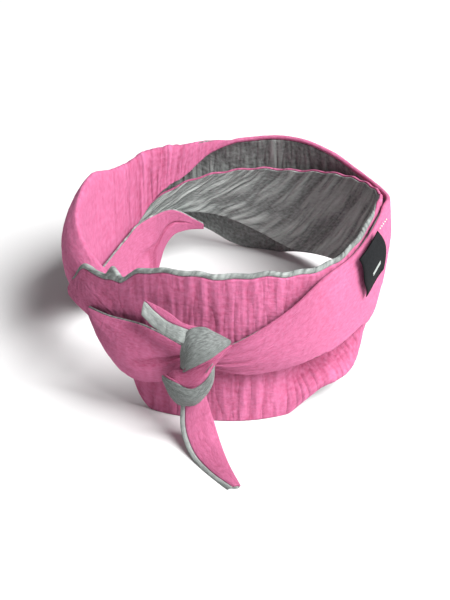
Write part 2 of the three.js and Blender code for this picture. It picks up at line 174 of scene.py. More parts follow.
# Knot loops: rows across the loop as [x, y, height] from the ring axis, from its right end
# to its left end. Each row goes from the lower edge through the crown to the upper edge.
UPPER_LOOP = [
    [[3.6, -99, 62.5], [3.4, -98.5, 63.5], [3.2, -97, 64]],
    [[-1.5, -103.5, 61.5], [-2.5, -103, 65], [-4.5, -97, 69]],
    [[-7.5, -106.5, 58.5], [-9, -106.5, 64], [-11, -97, 72.3]],
    [[-13.5, -107, 55], [-15, -107, 61.5], [-18, -97, 71]],
    [[-19, -105.5, 50.5], [-20.3, -106, 56], [-22.2, -97.5, 64.5]],
    [[-22.5, -102.5, 46.5], [-23, -102.5, 49.5], [-23.8, -98, 56]],
    [[-23.8, -99, 45.5], [-24, -98.5, 47], [-24, -97, 49]],
]
MIDDLE_LOOP = [
    [[3.4, -98, 59], [3.5, -98, 60.5], [3.2, -97, 62]],
    [[-2.5, -103, 55], [-2.5, -105, 58.5], [-2, -102.5, 62]],
    [[-6.3, -105.5, 51.5], [-7.5, -108.5, 55.5], [-7.5, -104.5, 60]],
    [[-8.2, -106.5, 45.5], [-11.5, -110, 50], [-13, -105, 56.5]],
    [[-13, -107.5, 40.6], [-16, -110.5, 46], [-18, -104.5, 53]],
    [[-19.5, -107, 38.8], [-21, -109, 43.5], [-22, -103.5, 49.5]],
    [[-26.5, -104.5, 40.5], [-27, -105, 43.5], [-27, -101, 47]],
    [[-32.5, -99.5, 37.5], [-32.7, -99.5, 39], [-32.5, -98, 41]],
]
LOWER_LOOP = [
    [[-5, -99, 50], [-4.8, -100, 52], [-5, -99, 54]],
    [[-6, -103.5, 41], [-6.3, -107, 44.5], [-7.5, -106, 49]],
    [[-10, -104, 32], [-11, -109.5, 37.5], [-12.5, -108, 43]],
    [[-17.5, -103.5, 24], [-18.2, -110, 32], [-18.8, -109, 40.5]],
    [[-24.8, -102.5, 24], [-24.8, -108, 33], [-25.5, -107, 42.5]],
    [[-30.5, -100, 29.5], [-30.8, -103, 36], [-30.8, -102.5, 42]],
    [[-33.8, -97, 36.5], [-34, -97.5, 38], [-34, -97, 40]],
]

# Name, rows, how far the other ply rolls over the lower and the upper edge, and the outer ply.
KNOT_LOOPS = (
    ("upper", UPPER_LOOP, 2.6, 0.0, "lining"),
    ("middle", MIDDLE_LOOP, -3.0, -3.0, "face"),
    ("lower", LOWER_LOOP, 0.0, 1.2, "lining"),
)
LONG_TAIL_CUP = 1.2  # how far a tail's edges bend down
SHORT_TAIL_CUP = 0.8
LONG_TAIL_ROLLS = (3.6, 0.0)  # how far the lining rolls over its two edges
SHORT_TAIL_ROLLS = (0.0, 8.9)

# Label: a folded tape. The two ends of its sewn edge are (angle, outward, height).
LABEL_HEM_LEFT = (46.5, 6.5, 92)
LABEL_HEM_RIGHT = (56.5, 6.5, 102)
LABEL_LEAN_DEG = 9  # its free end stands out from the cloth
LABEL_SKEW = 9.5  # how far its free end is shifted along the hem, to the left
LABEL_LENGTH = 25
LABEL_THICK = 1
LABEL_CELLS = 30
LABEL_BULGE = 3.4  # of its right edge
LABEL_WAVE = 0.7  # of its left edge
LABEL_BOW = 1.5  # away from the cloth
LABEL_TWIST = 0.5
LABEL_EDGE_ROUND = 1.2  # how far from its edges the tape gets thinner
LABEL_MARK = {"across": 0.5, "down": 0.62, "width": 0.37, "height": 0.07, "thick": 0.25}
LABEL_THREAD_DOWN = 0.9  # where its line of thread runs
LABEL_THREAD_STITCHES = 7
LABEL_THREAD_RADIUS = 0.3
SUNK = 0.1  # how deep a print or a thread sits in the tape, mm
STITCH_SIDES = 8
STITCH_RINGS = 7
CLOSING_STITCHES = 5
CLOSING_THREAD_RADIUS = 0.4
CLOSING_STITCH_FROM = (59, 5.6, 101)
CLOSING_STITCH_TO = (66, 5.4, 102)

# Colours of the cloths: at the bottom of a pleat, where the darker colour is painted shade, on its ridge,
# and of the fuzz over both.
PINK = ((0.37, 0.07, 0.15), (0.60, 0.16, 0.31), (0.63, 0.23, 0.40))
GREY = ((0.12, 0.13, 0.126), (0.44, 0.475, 0.455), (0.52, 0.56, 0.54))

CAMERA_TARGET = (0, -10.1, 45)
CAMERA_ELEVATION_DEG = 36
CAMERA_DISTANCE = 628
CAMERA_LENS = 65
CAMERA_SENSOR = 36
KEY_LIGHT = {"place": (1.7, -0.95, 2.3), "power": 228, "size": 1.8}  # m and W
SKY_STRENGTH = 0.22
FLOOR_HALF = 4  # m
FLOOR_DROP = 0.0003  # m below the headband
FLOOR_COLOUR = (0.7, 0.7, 0.7, 1)


# Shape helpers

def ring_point(angle, out, height):
    turn = np.radians(angle)
    x = (RING_HALF_WIDTH + out) * np.sin(turn)
    y = -(RING_HALF_DEPTH + out) * np.cos(turn)
    return np.stack([x, y, height + 0 * x], axis=-1) + RING_CENTRE


def smooth_through(places, values, at):
    """A smooth curve through values given at increasing places, read at the places at."""
    places = np.asarray(places, float)
    values = np.asarray(values, float)
    slopes = np.empty_like(values)
    steps = np.diff(places).reshape(-1, *[1] * (values.ndim - 1))
    rises = np.diff(values, axis=0) / steps
    slopes[0], slopes[-1] = rises[0], rises[-1]
    before, after = steps[:-1], steps[1:]
    slopes[1:-1] = (rises[:-1] * after + rises[1:] * before) / (before + after)
    i = np.clip(np.searchsorted(places, at, side="right") - 1, 0, len(places) - 2)
    shape = (-1, *[1] * (values.ndim - 1))
    span = (places[i + 1] - places[i]).reshape(shape)
    u = ((at - places[i]) / (places[i + 1] - places[i])).reshape(shape)
    hold = np.clip(u, 0, 1)
    curve = ((2 * hold**3 - 3 * hold**2 + 1) * values[i]
             + (hold**3 - 2 * hold**2 + hold) * span * slopes[i]
             + (3 * hold**2 - 2 * hold**3) * values[i + 1]
             + (hold**3 - hold**2) * span * slopes[i + 1])
    beyond = (u - hold) * span * np.where(u < 0, slopes[i], slopes[i + 1])
    return curve + beyond


def lattice_noise(x, y, seed):
    """Smooth noise from -1 to 1, one random value at each whole-number place."""
    size = 64
    table = np.random.default_rng(seed).uniform(-1, 1, (size, size))
    xi = np.floor(x).astype(int)
    yi = np.floor(y).astype(int)
    fx = x - xi
    fy = y - yi
    fx = fx * fx * (3 - 2 * fx)
    fy = fy * fy * (3 - 2 * fy)
    low = table[xi % size, yi % size] * (1 - fx) + table[(xi + 1) % size, yi % size] * fx
    high = table[xi % size, (yi + 1) % size] * (1 - fx) + table[(xi + 1) % size, (yi + 1) % size] * fx
    return low * (1 - fy) + high * fy


def pleats(s, v, seed, spacing=4.5, length=45, tilt=0.0, wander=2.5):
    """Pressed pleats across the band, from -1 in a valley to 1 on a ridge; s and v in mm."""
    drift = wander * lattice_noise(s / 25, v / 28, seed + 50)
    x = (s + tilt * v + drift) / spacing
    coarse = np.abs(lattice_noise(x, v / length, seed)) ** 0.75
    fine = np.abs(lattice_noise(2.3 * x + 9, v / (0.45 * length), seed + 1)) ** 0.8
    patch = 0.75 + 0.35 * lattice_noise(s / 18, v / 22, seed + 2)
    return (1.35 * (coarse + 0.4 * fine) - 0.75) * patch


def streaks(s, v, seed, spacing=6, length=70):
    """Soft waves that run along the band."""
    return pleats(v, s, seed, spacing, length, 0, 3)


def grain(s, v, seed):
    """Fine crepe: short low ribs along the band."""
    return lattice_noise(s / 4, v / 1.7, seed) * 0.6 + lattice_noise(s / 1.8, v / 1.9, seed + 1) * 0.5


def near(value, centre, half):
    """1 at centre, easing to 0 at half away from it."""
    u = np.clip(1 - np.abs((value - centre) / half), 0, 1)
    return u * u * (3 - 2 * u)


def ease(value, start, end):
    """0 before start, 1 after end."""
    u = np.clip((value - start) / (end - start), 0, 1)
    return u * u * (3 - 2 * u)


class Cloth:
    """The mid surface of one stretch of cloth as a grid of points, in mm, and the angle
    round the ring of each of its stations."""

    def __init__(self, grid, angle):
        self.mid = grid
        self.angle = angle
        along_dir = np.gradient(grid, axis=0)
        across_dir = np.gradient(grid, axis=1)
        normal = np.cross(along_dir, across_dir)
        self.normal = normal / np.linalg.norm(normal, axis=2, keepdims=True)
        self.up = across_dir / np.linalg.norm(across_dir, axis=2, keepdims=True)
        self.width = np.linalg.norm(np.diff(grid, axis=1), axis=2).sum(axis=1)
        middle = grid[:, grid.shape[1] // 2]
        steps = np.linalg.norm(np.diff(middle, axis=0), axis=1)
        self.s = np.concatenate([[0], np.cumsum(steps)])

    def at(self, field, i, t):
        """A grid field at stations i and shares t of the width."""
        place = np.clip(t, 0, 1) * (self.mid.shape[1] - 1)
        j = np.minimum(place.astype(int), self.mid.shape[1] - 2)
        f = (place - j)[..., None]
        return field[i, j] * (1 - f) + field[i, j + 1] * f


def lowered(grid, depth):
    """The grid moved into the cloth by depth, along its normals."""
    normal = np.cross(np.gradient(grid, axis=0), np.gradient(grid, axis=1))
    return grid - depth * normal / np.linalg.norm(normal, axis=2, keepdims=True)


def evenly_spaced(grid, columns):
    """The grid with its points spread evenly along each station."""
    steps = np.linalg.norm(np.diff(grid, axis=1), axis=2)
    share = np.linspace(0, 1, columns + 1)
    even = np.empty((len(grid), columns + 1, 3))
    for i, station in enumerate(grid):
        places = np.concatenate([[0], np.cumsum(steps[i])])
        for axis in range(3):
            even[i, :, axis] = np.interp(share * places[-1], places, station[:, axis])
    return even


def ring_cloth(rows, start, end, change=None, flip=False):
    """Cloth from a row table between two angles."""
    angles = np.array([row[0] for row in rows], float)
    points = np.array([row[1:] for row in rows], float)
    mean_radius = (RING_HALF_WIDTH + RING_HALF_DEPTH) / 2
    count = int(math.radians(end - start) * mean_radius / GRID_STEP) + 2
    longest = np.linalg.norm(np.diff(points, axis=1), axis=2).sum(axis=1).max()
    columns = int(longest / GRID_STEP)
    angle = np.linspace(start, end, count)
    share = np.linspace(0, 1, PROFILE_DETAIL * columns)
    profile = smooth_through(np.linspace(0, 1, points.shape[1]), points.transpose(1, 0, 2), share)
    sections = np.stack([smooth_through(angles, row, angle) for row in profile], axis=1)
    out, height = sections.transpose(2, 0, 1)
    if change:
        out, height = change(angle[:, None], share[None, :], out, height)
    grid = evenly_spaced(ring_point(angle[:, None] + 0 * out, out, height), columns)
    if flip:
        grid = grid[::-1]
        angle = angle[::-1]
    return Cloth(lowered(grid, CLOTH_THICK / 2), angle)


def smooth_rows(rows, line, step):
    """The rows made dense, one for each step along the line of points through them."""
    length = np.linalg.norm(np.diff(line, axis=0), axis=1)
    places = np.concatenate([[0], np.cumsum(length)]) / length.sum()
    count = int(length.sum() / step)
    return smooth_through(places, rows, np.linspace(0, 1, count))


def ribbon_cloth(rows, side, cup):
    """Cloth along a centre line, its face along travel x side. cup bends its edges down."""
    rows = np.array(rows, float)
    side = np.array(side, float) / np.linalg.norm(side)
    line = smooth_rows(rows, rows[:, :3], TAIL_STEP)
    across = np.linspace(0, 1, TAIL_POINTS)
    travel = np.gradient(line[:, :3], axis=0)
    normal = np.cross(travel, side)
    normal /= np.linalg.norm(normal, axis=1, keepdims=True)
    offset = across - 0.5
    grid = (line[:, None, :3] + offset[None, :, None] * line[:, None, 3:] * side
            - cup * (2 * offset[None, :, None]) ** 2 * normal[:, None])
    return Cloth(lowered(grid + RING_CENTRE, CLOTH_THICK / 2), np.zeros(len(line)))


def loop_cloth(rows):
    """Cloth pulled round the knot, from rows of [lower edge, crown, upper edge]."""
    rows = np.array(rows, float)[::-1]
    edges = smooth_rows(rows, rows[:, 1], LOOP_STEP)
    across = np.linspace(0, 1, LOOP_POINTS)
    grid = smooth_through([0, 0.5, 1], edges.transpose(1, 0, 2), across).transpose(1, 0, 2)
    return Cloth(lowered(grid + RING_CENTRE, CLOTH_THICK / 2), np.zeros(len(edges)))


def seam_place(cloth, roll, top):
    """Arc place of a hem's seam on one ply: roll is how far, in mm, the other ply rolls
    over the hem to this side, negative where this one rolls over to the other side."""
    quarter_turn = math.pi * CLOTH_THICK / 4
    if top:
        return cloth.width + quarter_turn - roll
    return roll - quarter_turn


def ply_path(low, high, count):
    """Arc places along each station's section, closer together near the seams."""
    share = np.linspace(0, 1, count)
    share = share - SEAM_CROWDING * np.sin(2 * math.pi * share) / (2 * math.pi)
    return low[:, None] + (high - low)[:, None] * share[None, :]


def section_point(cloth, q, side):
    """Base points, outward directions and width shares at arc places q of each station.
    The place runs up the section on one side of the mid surface and over its two hems."""
    i = np.arange(len(cloth.s))[:, None] + 0 * q.astype(int)
    width = cloth.width[:, None]
    over_top = np.clip((q - width) / (CLOTH_THICK / 2), 0, math.pi)
    over_low = np.clip(-q / (CLOTH_THICK / 2), 0, math.pi)
    turned = CLOTH_THICK / 2 * math.pi
    back_top = np.clip(q - width - turned, 0, None)
    back_low = np.clip(-q - turned, 0, None)
    t = np.where(q > width / 2, (np.minimum(q, width) - back_top) / width,
                 (np.maximum(q, 0) + back_low) / width)
    normal = cloth.at(cloth.normal, i, t) * side
    up = cloth.at(cloth.up, i, t)
    turn = (over_top - over_low)[..., None]
    outward = normal * np.cos(turn) + up * np.sin(turn)
    return cloth.at(cloth.mid, i, t), outward, t


def add_piece(name, mesh, material):
    mesh.shade_smooth()
    mesh.materials.append(material)
    piece = bpy.data.objects.new(name, mesh)
    bpy.context.scene.collection.objects.link(piece)
    return piece


def make_shell(name, outer, inner, attributes, material):
    """A closed shell between two grids of points in mm, with attributes at its points."""
    rows, columns = outer.shape[:2]
    points = np.concatenate([outer.reshape(-1, 3), inner.reshape(-1, 3)]) * MM
    index = np.arange(rows * columns).reshape(rows, columns)
    back = index + rows * columns

    def quads(a, b, c, d):
        return np.stack([a, b, c, d], axis=-1).reshape(-1, 4)

    faces = np.concatenate([
        quads(index[:-1, :-1], index[1:, :-1], index[1:, 1:], index[:-1, 1:]),
        quads(back[:-1, :-1], back[:-1, 1:], back[1:, 1:], back[1:, :-1]),
        quads(index[:-1, 0], back[:-1, 0], back[1:, 0], index[1:, 0]),
        quads(index[:-1, -1], index[1:, -1], back[1:, -1], back[:-1, -1]),
        quads(index[0, :-1], index[0, 1:], back[0, 1:], back[0, :-1]),
        quads(index[-1, :-1], back[-1, :-1], back[-1, 1:], index[-1, 1:]),
    ])
    mesh = bpy.data.meshes.new(name)
    mesh.from_pydata(points.tolist(), [], faces.tolist())
    for key, kind, values in attributes:
        flat = np.concatenate([values.reshape(rows * columns, -1)] * 2).astype(np.float32)
        attribute = mesh.attributes.new(key, kind, "POINT")
        attribute.data.foreach_set("vector" if kind == "FLOAT_VECTOR" else "value", flat.ravel())
    return add_piece(name, mesh, material)


def make_ply(name, cloth, side, low, high, relief, material):
    """One ply of a cloth: side 1 is the outer one. relief(s, v, angle, t) gives how far the
    cloth is lifted, in mm, how crinkled it is, from 0 to 1, and how far its crinkles lean."""
    count = int(np.max(high - low) / GRID_STEP) + HEM_CELLS
    q = ply_path(low, high, count)
    base, outward, t = section_point(cloth, q, side)
    s = cloth.s[:, None] + 0 * q
    v = (q - low[:, None]) / (high - low)[:, None] * BAND_WIDTH
    angle = cloth.angle[:, None] + 0 * q
    to_seam = np.minimum(q - low[:, None], high[:, None] - q)
    rounding = np.sqrt(np.clip(1 - (1 - np.clip(to_seam / SEAM_ROUND, 0, 1)) ** 2, 0, 1))
    lift, crinkle, lean = relief(s, v, angle, t)
    crinkle = crinkle + 0 * s
    calm = HEM_CALM + (1 - HEM_CALM) * ease(to_seam, 0.5, 7)
    thickness = SEAM_THINNESS + (1 - SEAM_THINNESS) * rounding
    radius = INNER_RADIUS + (CLOTH_THICK / 2 - INNER_RADIUS) * thickness
    outer = base + outward * (radius + lift * calm)[..., None]
    inner = base + outward * INNER_RADIUS
    outer[..., 2] = np.maximum(outer[..., 2], 0)
    inner[..., 2] = np.maximum(inner[..., 2], 0)
    if side < 0:
        outer, inner, lift, crinkle, s, v = (a[::-1] for a in (outer, inner, lift, crinkle, s, v))
    cloth_uv = np.stack([s + lean * v, v, 0 * s], axis=-1) * MM
    return make_shell(name, outer, inner, [
        ("cloth_uv", "FLOAT_VECTOR", cloth_uv),
        # The relief also sets the painted shade in the colour, and the crinkle sets how dark the crinkle
        # hollows are painted.
        ("relief", "FLOAT", lift),
        ("crinkle", "FLOAT", crinkle),
    ], material)


def make_cloth(name, cloth, roll_low, roll_top, reliefs, held, outer_ply="face", body="headband"):
    """Both plies of a cloth, riding on a body unless it is None. Returns {"face": piece, "lining": piece}."""
    inner_ply = "lining" if outer_ply == "face" else "face"
    stations = len(cloth.s)
    roll_low = np.broadcast_to(roll_low, stations)
    roll_top = np.broadcast_to(roll_top, stations)
    pieces = {}
    for ply, side in ((outer_ply, 1), (inner_ply, -1)):
        low = seam_place(cloth, side * roll_low, False)
        high = seam_place(cloth, side * roll_top, True)
        piece = make_ply(f"{name}_{ply}_cloth", cloth, side, low, high, reliefs[ply], CLOTHS[ply])
        if body:
            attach(piece, body)
        pieces[ply] = piece
    return pieces


# Materials

def new_material(name):
    material = bpy.data.materials.new(name)
    material.use_nodes = True
    return material, material.node_tree.nodes["Principled BSDF"]


def add_node(material, kind, links=(), **values):
    """A node with its input values, and links from (socket name, output)."""
    node = material.node_tree.nodes.new(f"ShaderNode{kind}")
    for key, value in values.items():
        if hasattr(node, key):
            setattr(node, key, value)
        else:
            node.inputs[key.replace("_", " ")].default_value = value
    for key, output in links:
        material.node_tree.links.new(output, node.inputs[key])
    return node


def muslin(name, valley, ridge, tint):
    """Double gauze: colour from the pleats and crinkles, mottling and an open crepe weave. The dark valley
    colour in sunken places and crinkle hollows is painted shade.
    """
    material, shader = new_material(name)
    links = material.node_tree.links
    relief = add_node(material, "Attribute", attribute_name="relief")
    amount = add_node(material, "Attribute", attribute_name="crinkle")
    place = add_node(material, "Attribute", attribute_name="cloth_uv").outputs["Vector"]
    # Painted shade: the lower the relief, the nearer the colour comes to the dark valley colour.
    depth = add_node(material, "MapRange", [("Value", relief.outputs["Fac"])],
                     From_Min=-0.6, From_Max=0.7)
    crinkles = add_crinkles(material, place)
    # The crinkle hollows are bumped and also painted darker, as painted shade.
    hollow = add_node(material, "Math", [(0, crinkles), (1, amount.outputs["Fac"])], operation="MULTIPLY")
    share = add_node(material, "Math", [(0, hollow.outputs["Value"]), (2, depth.outputs["Result"])],
                     operation="MULTIPLY_ADD", use_clamp=True)
    share.inputs[1].default_value = -0.5
    shade = add_node(material, "Mix", [("Factor", share.outputs["Value"])], data_type="RGBA",
                     A=(*valley, 1), B=(*ridge, 1))
    mottle = add_node(material, "TexNoise", [("Vector", place)], Scale=400, Detail=4)
    spots = add_node(material, "MapRange", [("Value", mottle.outputs["Fac"])],
                     From_Min=0.35, From_Max=0.7, To_Max=0.35)
    worn = add_node(material, "Mix", [("A", shade.outputs["Result"]), ("Factor", spots.outputs["Result"])],
                    data_type="RGBA", B=(*tint, 1))
    links.new(worn.outputs["Result"], shader.inputs["Base Color"])
    folds = add_node(material, "Bump", [("Height", hollow.outputs["Value"])], invert=True,
                     Strength=1.0, Distance=0.0011)
    links.new(add_weave(material, place, folds), shader.inputs["Normal"])
    shader.inputs["Roughness"].default_value = 0.92
    shader.inputs["Specular IOR Level"].default_value = 0.15
    shader.inputs["Sheen Weight"].default_value = 0.35
    shader.inputs["Sheen Roughness"].default_value = 0.5
    shader.inputs["Sheen Tint"].default_value = (*tint, 1)
    return material


def add_crinkles(material, place):
    """Narrow hollows across the band, 1 at the bottom of each and 0 between them."""
    stretched = add_node(material, "Mapping", [("Vector", place)], Scale=(150, 22, 1))
    noise = add_node(material, "TexNoise", [("Vector", stretched.outputs["Vector"])],
                     Scale=1.0, Detail=1.5, Roughness=0.5)
    from_crease = add_node(material, "Math", [(0, noise.outputs["Fac"])], operation="SUBTRACT")
    from_crease.inputs[1].default_value = 0.5
    size = add_node(material, "Math", [(0, from_crease.outputs["Value"])], operation="ABSOLUTE")
    hollow = add_node(material, "MapRange", [("Value", size.outputs["Value"])],
                      From_Min=0.0, From_Max=0.17, To_Min=1.0, To_Max=0.0)
    return hollow.outputs["Result"]


def add_weave(material, place, folds):
    """Bump of an open weave over crepe ribs, on top of the folds."""
    stretched = add_node(material, "Mapping", [("Vector", place)], Scale=(260, 620, 1))
    crepe = add_node(material, "TexNoise", [("Vector", stretched.outputs["Vector"])],
                     Scale=1.0, Detail=4.0)
    previous = add_node(material, "Bump", [("Height", crepe.outputs["Fac"]),
                                           ("Normal", folds.outputs["Normal"])],
                        Strength=0.8, Distance=0.0007)
    for direction in ("X", "Y"):
        threads = add_node(material, "TexWave", [("Vector", place)], bands_direction=direction,
                           Scale=480, Distortion=2.5, Detail=2)
        previous = add_node(material, "Bump", [("Height", threads.outputs["Fac"]),
                                               ("Normal", previous.outputs["Normal"])],
                            Strength=0.45, Distance=0.0002)
    return previous.outputs["Normal"]


def tape(name, dark, light, roughness):
    """Tight woven tape or sewing thread."""
    material, shader = new_material(name)
    links = material.node_tree.links
    place = add_node(material, "TexCoord").outputs["Object"]
    noise = add_node(material, "TexNoise", [("Vector", place)], Scale=900, Detail=4)
    shade = add_node(material, "Mix", [("Factor", noise.outputs["Fac"])], data_type="RGBA",
                     A=(*dark, 1), B=(*light, 1))
    links.new(shade.outputs["Result"], shader.inputs["Base Color"])
    threads = add_node(material, "TexWave", [("Vector", place)], bands_direction="DIAGONAL", Scale=500)
    bump = add_node(material, "Bump", [("Height", threads.outputs["Fac"])],
                    Strength=0.3, Distance=0.0002)
    links.new(bump.outputs["Normal"], shader.inputs["Normal"])
    shader.inputs["Roughness"].default_value = roughness
    shader.inputs["Specular IOR Level"].default_value = 0.08
    return material


CLOTHS = {
    "face": muslin("pink_muslin", *PINK),
    "lining": muslin("grey_muslin", *GREY),
}
LABEL_CLOTH = tape("black_tape", (0.006, 0.0065, 0.007), (0.018, 0.019, 0.021), 0.75)
BLACK_THREAD = tape("black_thread", (0.006, 0.006, 0.007), (0.02, 0.02, 0.022), 0.7)
CREAM_THREAD = tape("cream_thread", (0.7, 0.62, 0.48), (0.85, 0.8, 0.68), 0.7)
MARK_CLOTH = tape("grey_print", (0.27, 0.29, 0.28), (0.4, 0.43, 0.41), 0.7)


# The wraps

def bulging_panel(angle, t, out, height):
    """The front panel swells out over the arm's top hem, sinks in behind the arm's lower hem
    and swells out again below it. Its top hem waves a little and has one peak at the left."""
    swell = 1.6 * near(angle, 36, 14) * near(t, 0.93, 0.12)
    pocket = 10 * near(angle, 39, 25) * near(t, 0.24, 0.14)
    below = 6 * near(angle, 40, 26) * near(t, 0.06, 0.12)
    wave = 0.5 * np.sin(angle * 0.55) * ease(t, 0.8, 1)
    peak = 8 * near(angle, -41, 4.4) * ease(t, 0.9, 1)
    return out + swell - pocket + below, height + wave + peak


def panel_relief(s, v, angle, t):
    """Upright pleats, ruffles in the pocket under the right arm, and a drag to the left fold. The ruffles
    sink the pocket and paint it in the dark valley colour: partly a real hollow, partly painted shade.
    """
    # The -1.4 deepens the pocket and paints it dark: painted shade under the arm.
    ruffles = near(angle, 38, 22) * near(t, 0.23, 0.12) * (2.0 * pleats(s, v, 9, 6, 16) - 1.4)
    drag = 0.45 * near(angle, -48, 22) * pleats(s, v, 8, 7, 60, tilt=0.9)
    return 0.62 * pleats(s, v, 3, 3.9, 48) + ruffles + drag + 0.14 * grain(s, v, 5), 0.6, 0.0


def inside_relief(s, v, angle, t):
    """Slanting pleats inside the ring, deeper towards the back."""
    deep = ease(angle, 75, 110)
    lift = ((0.5 + 0.7 * deep) * pleats(s, v, 13, 5.0, 60, tilt=0.55)
            + 0.8 * deep * pleats(s, v, 21, 12, 70, tilt=0.6)
            + 0.1 * grain(s, v, 15))
    return lift, 0.85, 0.55


def add_inner_wrap():
    """The front panel and the inner turn behind it. Its lining rolls over the top hem at the
    front, most of all at the small peak, and its face rolls over it at the back."""
    cloth = ring_cloth(INNER_WRAP, -67, 224, change=bulging_panel)
    front_roll = 3.6 * ease(cloth.angle, -66, -58) - 4.8 * ease(cloth.angle, 60, 72)
    front_roll += 6 * near(cloth.angle, -41, 4.4)
    reliefs = {"face": panel_relief, "lining": inside_relief}
    pieces = make_cloth("inner_wrap", cloth, 0.0, front_roll, reliefs, "folded")
    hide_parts("front_panel_face", "back_inner_wrap_face")
    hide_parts("front_panel_lining", "back_inner_wrap_lining")
    return pieces


def loose_hems(angle, t, out, height):
    """The arm's lower hem stands off the panel, and its upper one lies close at the corner."""
    pocket = 4.2 * near(angle, 37, 22) * (1 - ease(t, 0, 0.3))
    corner = 3.2 * near(angle, 74, 20) * ease(t, 0.65, 1)
    return out + pocket - corner, height


def arm_relief(s, v, angle, t):
    """Nearly smooth, with pleats over the rolled back left and folds drawn into the knot."""
    crest = near(angle, 210, 38) * ease(t, 0.45, 0.6)
    radiating = crest * 0.9 * pleats(s, v, 33, 5.5, 60, tilt=-0.25)
    knot_folds = 1.1 * near(angle, -2, 20) * streaks(s, v, 34, 13, 40)
    lift = (0.12 * streaks(s, v, 31, 9, 60) + 0.12 * pleats(s, v, 35, 5, 30)
            + radiating + knot_folds + 0.16 * grain(s, v, 32))
    return lift, 0.1 + 0.6 * crest, -0.25


def arm_lining_relief(s, v, angle, t):
    """Upright pleats, and none in the sharp fold at the lower hem, which is sunk and painted in the dark
    valley colour as painted shade.
    """
    above_fold = ease(t, 0.12, 0.3)
    lift = above_fold * (0.95 * pleats(s, v, 41, 4.6, 55) + 0.12 * grain(s, v, 42))
    return lift - 0.7 * (1 - above_fold), 0.8, 0.0


def add_outer_wrap():
    """The right arm, the outer turn behind and the roll at the left, in one stretch."""
    cloth = ring_cloth(OUTER_WRAP, -8, 312, change=loose_hems)
    at_arm = 1 - ease(cloth.angle, 6, 18)
    at_back = ease(cloth.angle, 66, 74)
    roll = 1.6 * at_arm - 0.9 - 2.4 * at_back
    reliefs = {"face": arm_relief, "lining": arm_lining_relief}
    lower_roll = -4.2 * ease(cloth.angle, -8, 4) * (1 - ease(cloth.angle, 66, 80))
    pieces = make_cloth("outer_wrap", cloth, lower_roll, roll, reliefs, "folded")
    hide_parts("right_arm_face", "back_outer_wrap_face", "left_wrap_face", "left_roll_face")
    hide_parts("right_arm_lining", "back_outer_wrap_lining",
                "left_wrap_lining", "left_roll_lining")
    return pieces


def left_arm_relief(s, v, angle, t):
    """One deep fold that runs into the knot, over finer creases."""
    fold = -2.2 * near(t - 0.012 * (angle + 17), 0.62, 0.10) * ease(angle, -32, -20)
    creases = 0.5 * streaks(s, v, 51, 14, 40) + 0.25 * pleats(s, v, 52, 5, 25)
    return fold + creases + 0.12 * grain(s, v, 53), 0.2, 0.0


def add_left_arm():
    cloth = ring_cloth(LEFT_ARM, -51, -10)
    reliefs = {"face": left_arm_relief, "lining": arm_lining_relief}
    pieces = make_cloth("left_arm", cloth, 0.0, 1.5, reliefs, "folded")
    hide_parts("left_arm_face")
    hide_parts("left_arm_lining")
    return pieces


def inner_fold_relief(s, v, angle, t):
    """Puckered along the middle, with an upright crease below."""
    pucker = -1.8 * near(t, 0.5, 0.09) * near(angle, -150, 16)
    crease = -1.5 * near(angle, -142, 3) * (1 - ease(t, 0.45, 0.6))
    return pucker + crease + 0.2 * pleats(s, v, 61, 6, 30) + 0.1 * grain(s, v, 62), 0.2, 0.0


def add_inner_left_fold():
    cloth = ring_cloth(INNER_LEFT_FOLD, -170, -88, flip=True)
    reliefs = {"face": inner_fold_relief, "lining": arm_lining_relief}
    pieces = make_cloth("inner_left_fold", cloth, 0.0, 0.6, reliefs, "folded")
    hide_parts("inner_left_fold_face")
    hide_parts("inner_left_fold_lining")
    return pieces


# The knot and tails

def loop_relief(s, v, angle, t):
    # The -0.85 sinks the loops and paints them mostly in the dark valley colour: painted shade over the
    # knot.
    return 0.75 * streaks(s, v, 71, 13, 80) - 0.85 + 0.12 * grain(s, v, 72), 0.1, 0.0


def add_knot():
    reliefs = {"face": loop_relief, "lining": loop_relief}
    for place, rows, roll_low, roll_top, outer_ply in KNOT_LOOPS:
        pieces = make_cloth(f"knot_{place}", loop_cloth(rows), roll_low, roll_top, reliefs,
                            "stretched", outer_ply)
        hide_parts(f"knot_{place}_loop")


def tail_relief(s, v, angle, t):
    lift = 0.4 * streaks(s, v, 81, 22, 30) + 0.25 * pleats(s, v, 82, 5, 30) + 0.1 * grain(s, v, 83)
    return lift, 0.25, 0.0


def add_tail(name, rows, root, side, cup, rolls, held):
    """A tail that comes out of the knot, baked into place and riding on no body."""
    reliefs = {"face": tail_relief, "lining": tail_relief}
    cloth = ribbon_cloth([root, *rows], side, cup)
    pieces = make_cloth(name, cloth, *rolls, reliefs, held, body=None)
    for ply, piece in pieces.items():
        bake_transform(piece)
        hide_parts(f"{name}_{ply}")


def add_tails():
    add_tail("long_tail", LONG_TAIL, LONG_TAIL_ROOT, LONG_TAIL_SIDE, LONG_TAIL_CUP,
             LONG_TAIL_ROLLS, "laid")
    add_tail("short_tail", SHORT_TAIL, SHORT_TAIL_ROOT, SHORT_TAIL_SIDE, SHORT_TAIL_CUP,
             SHORT_TAIL_ROLLS, "folded")


# The label and the sewing

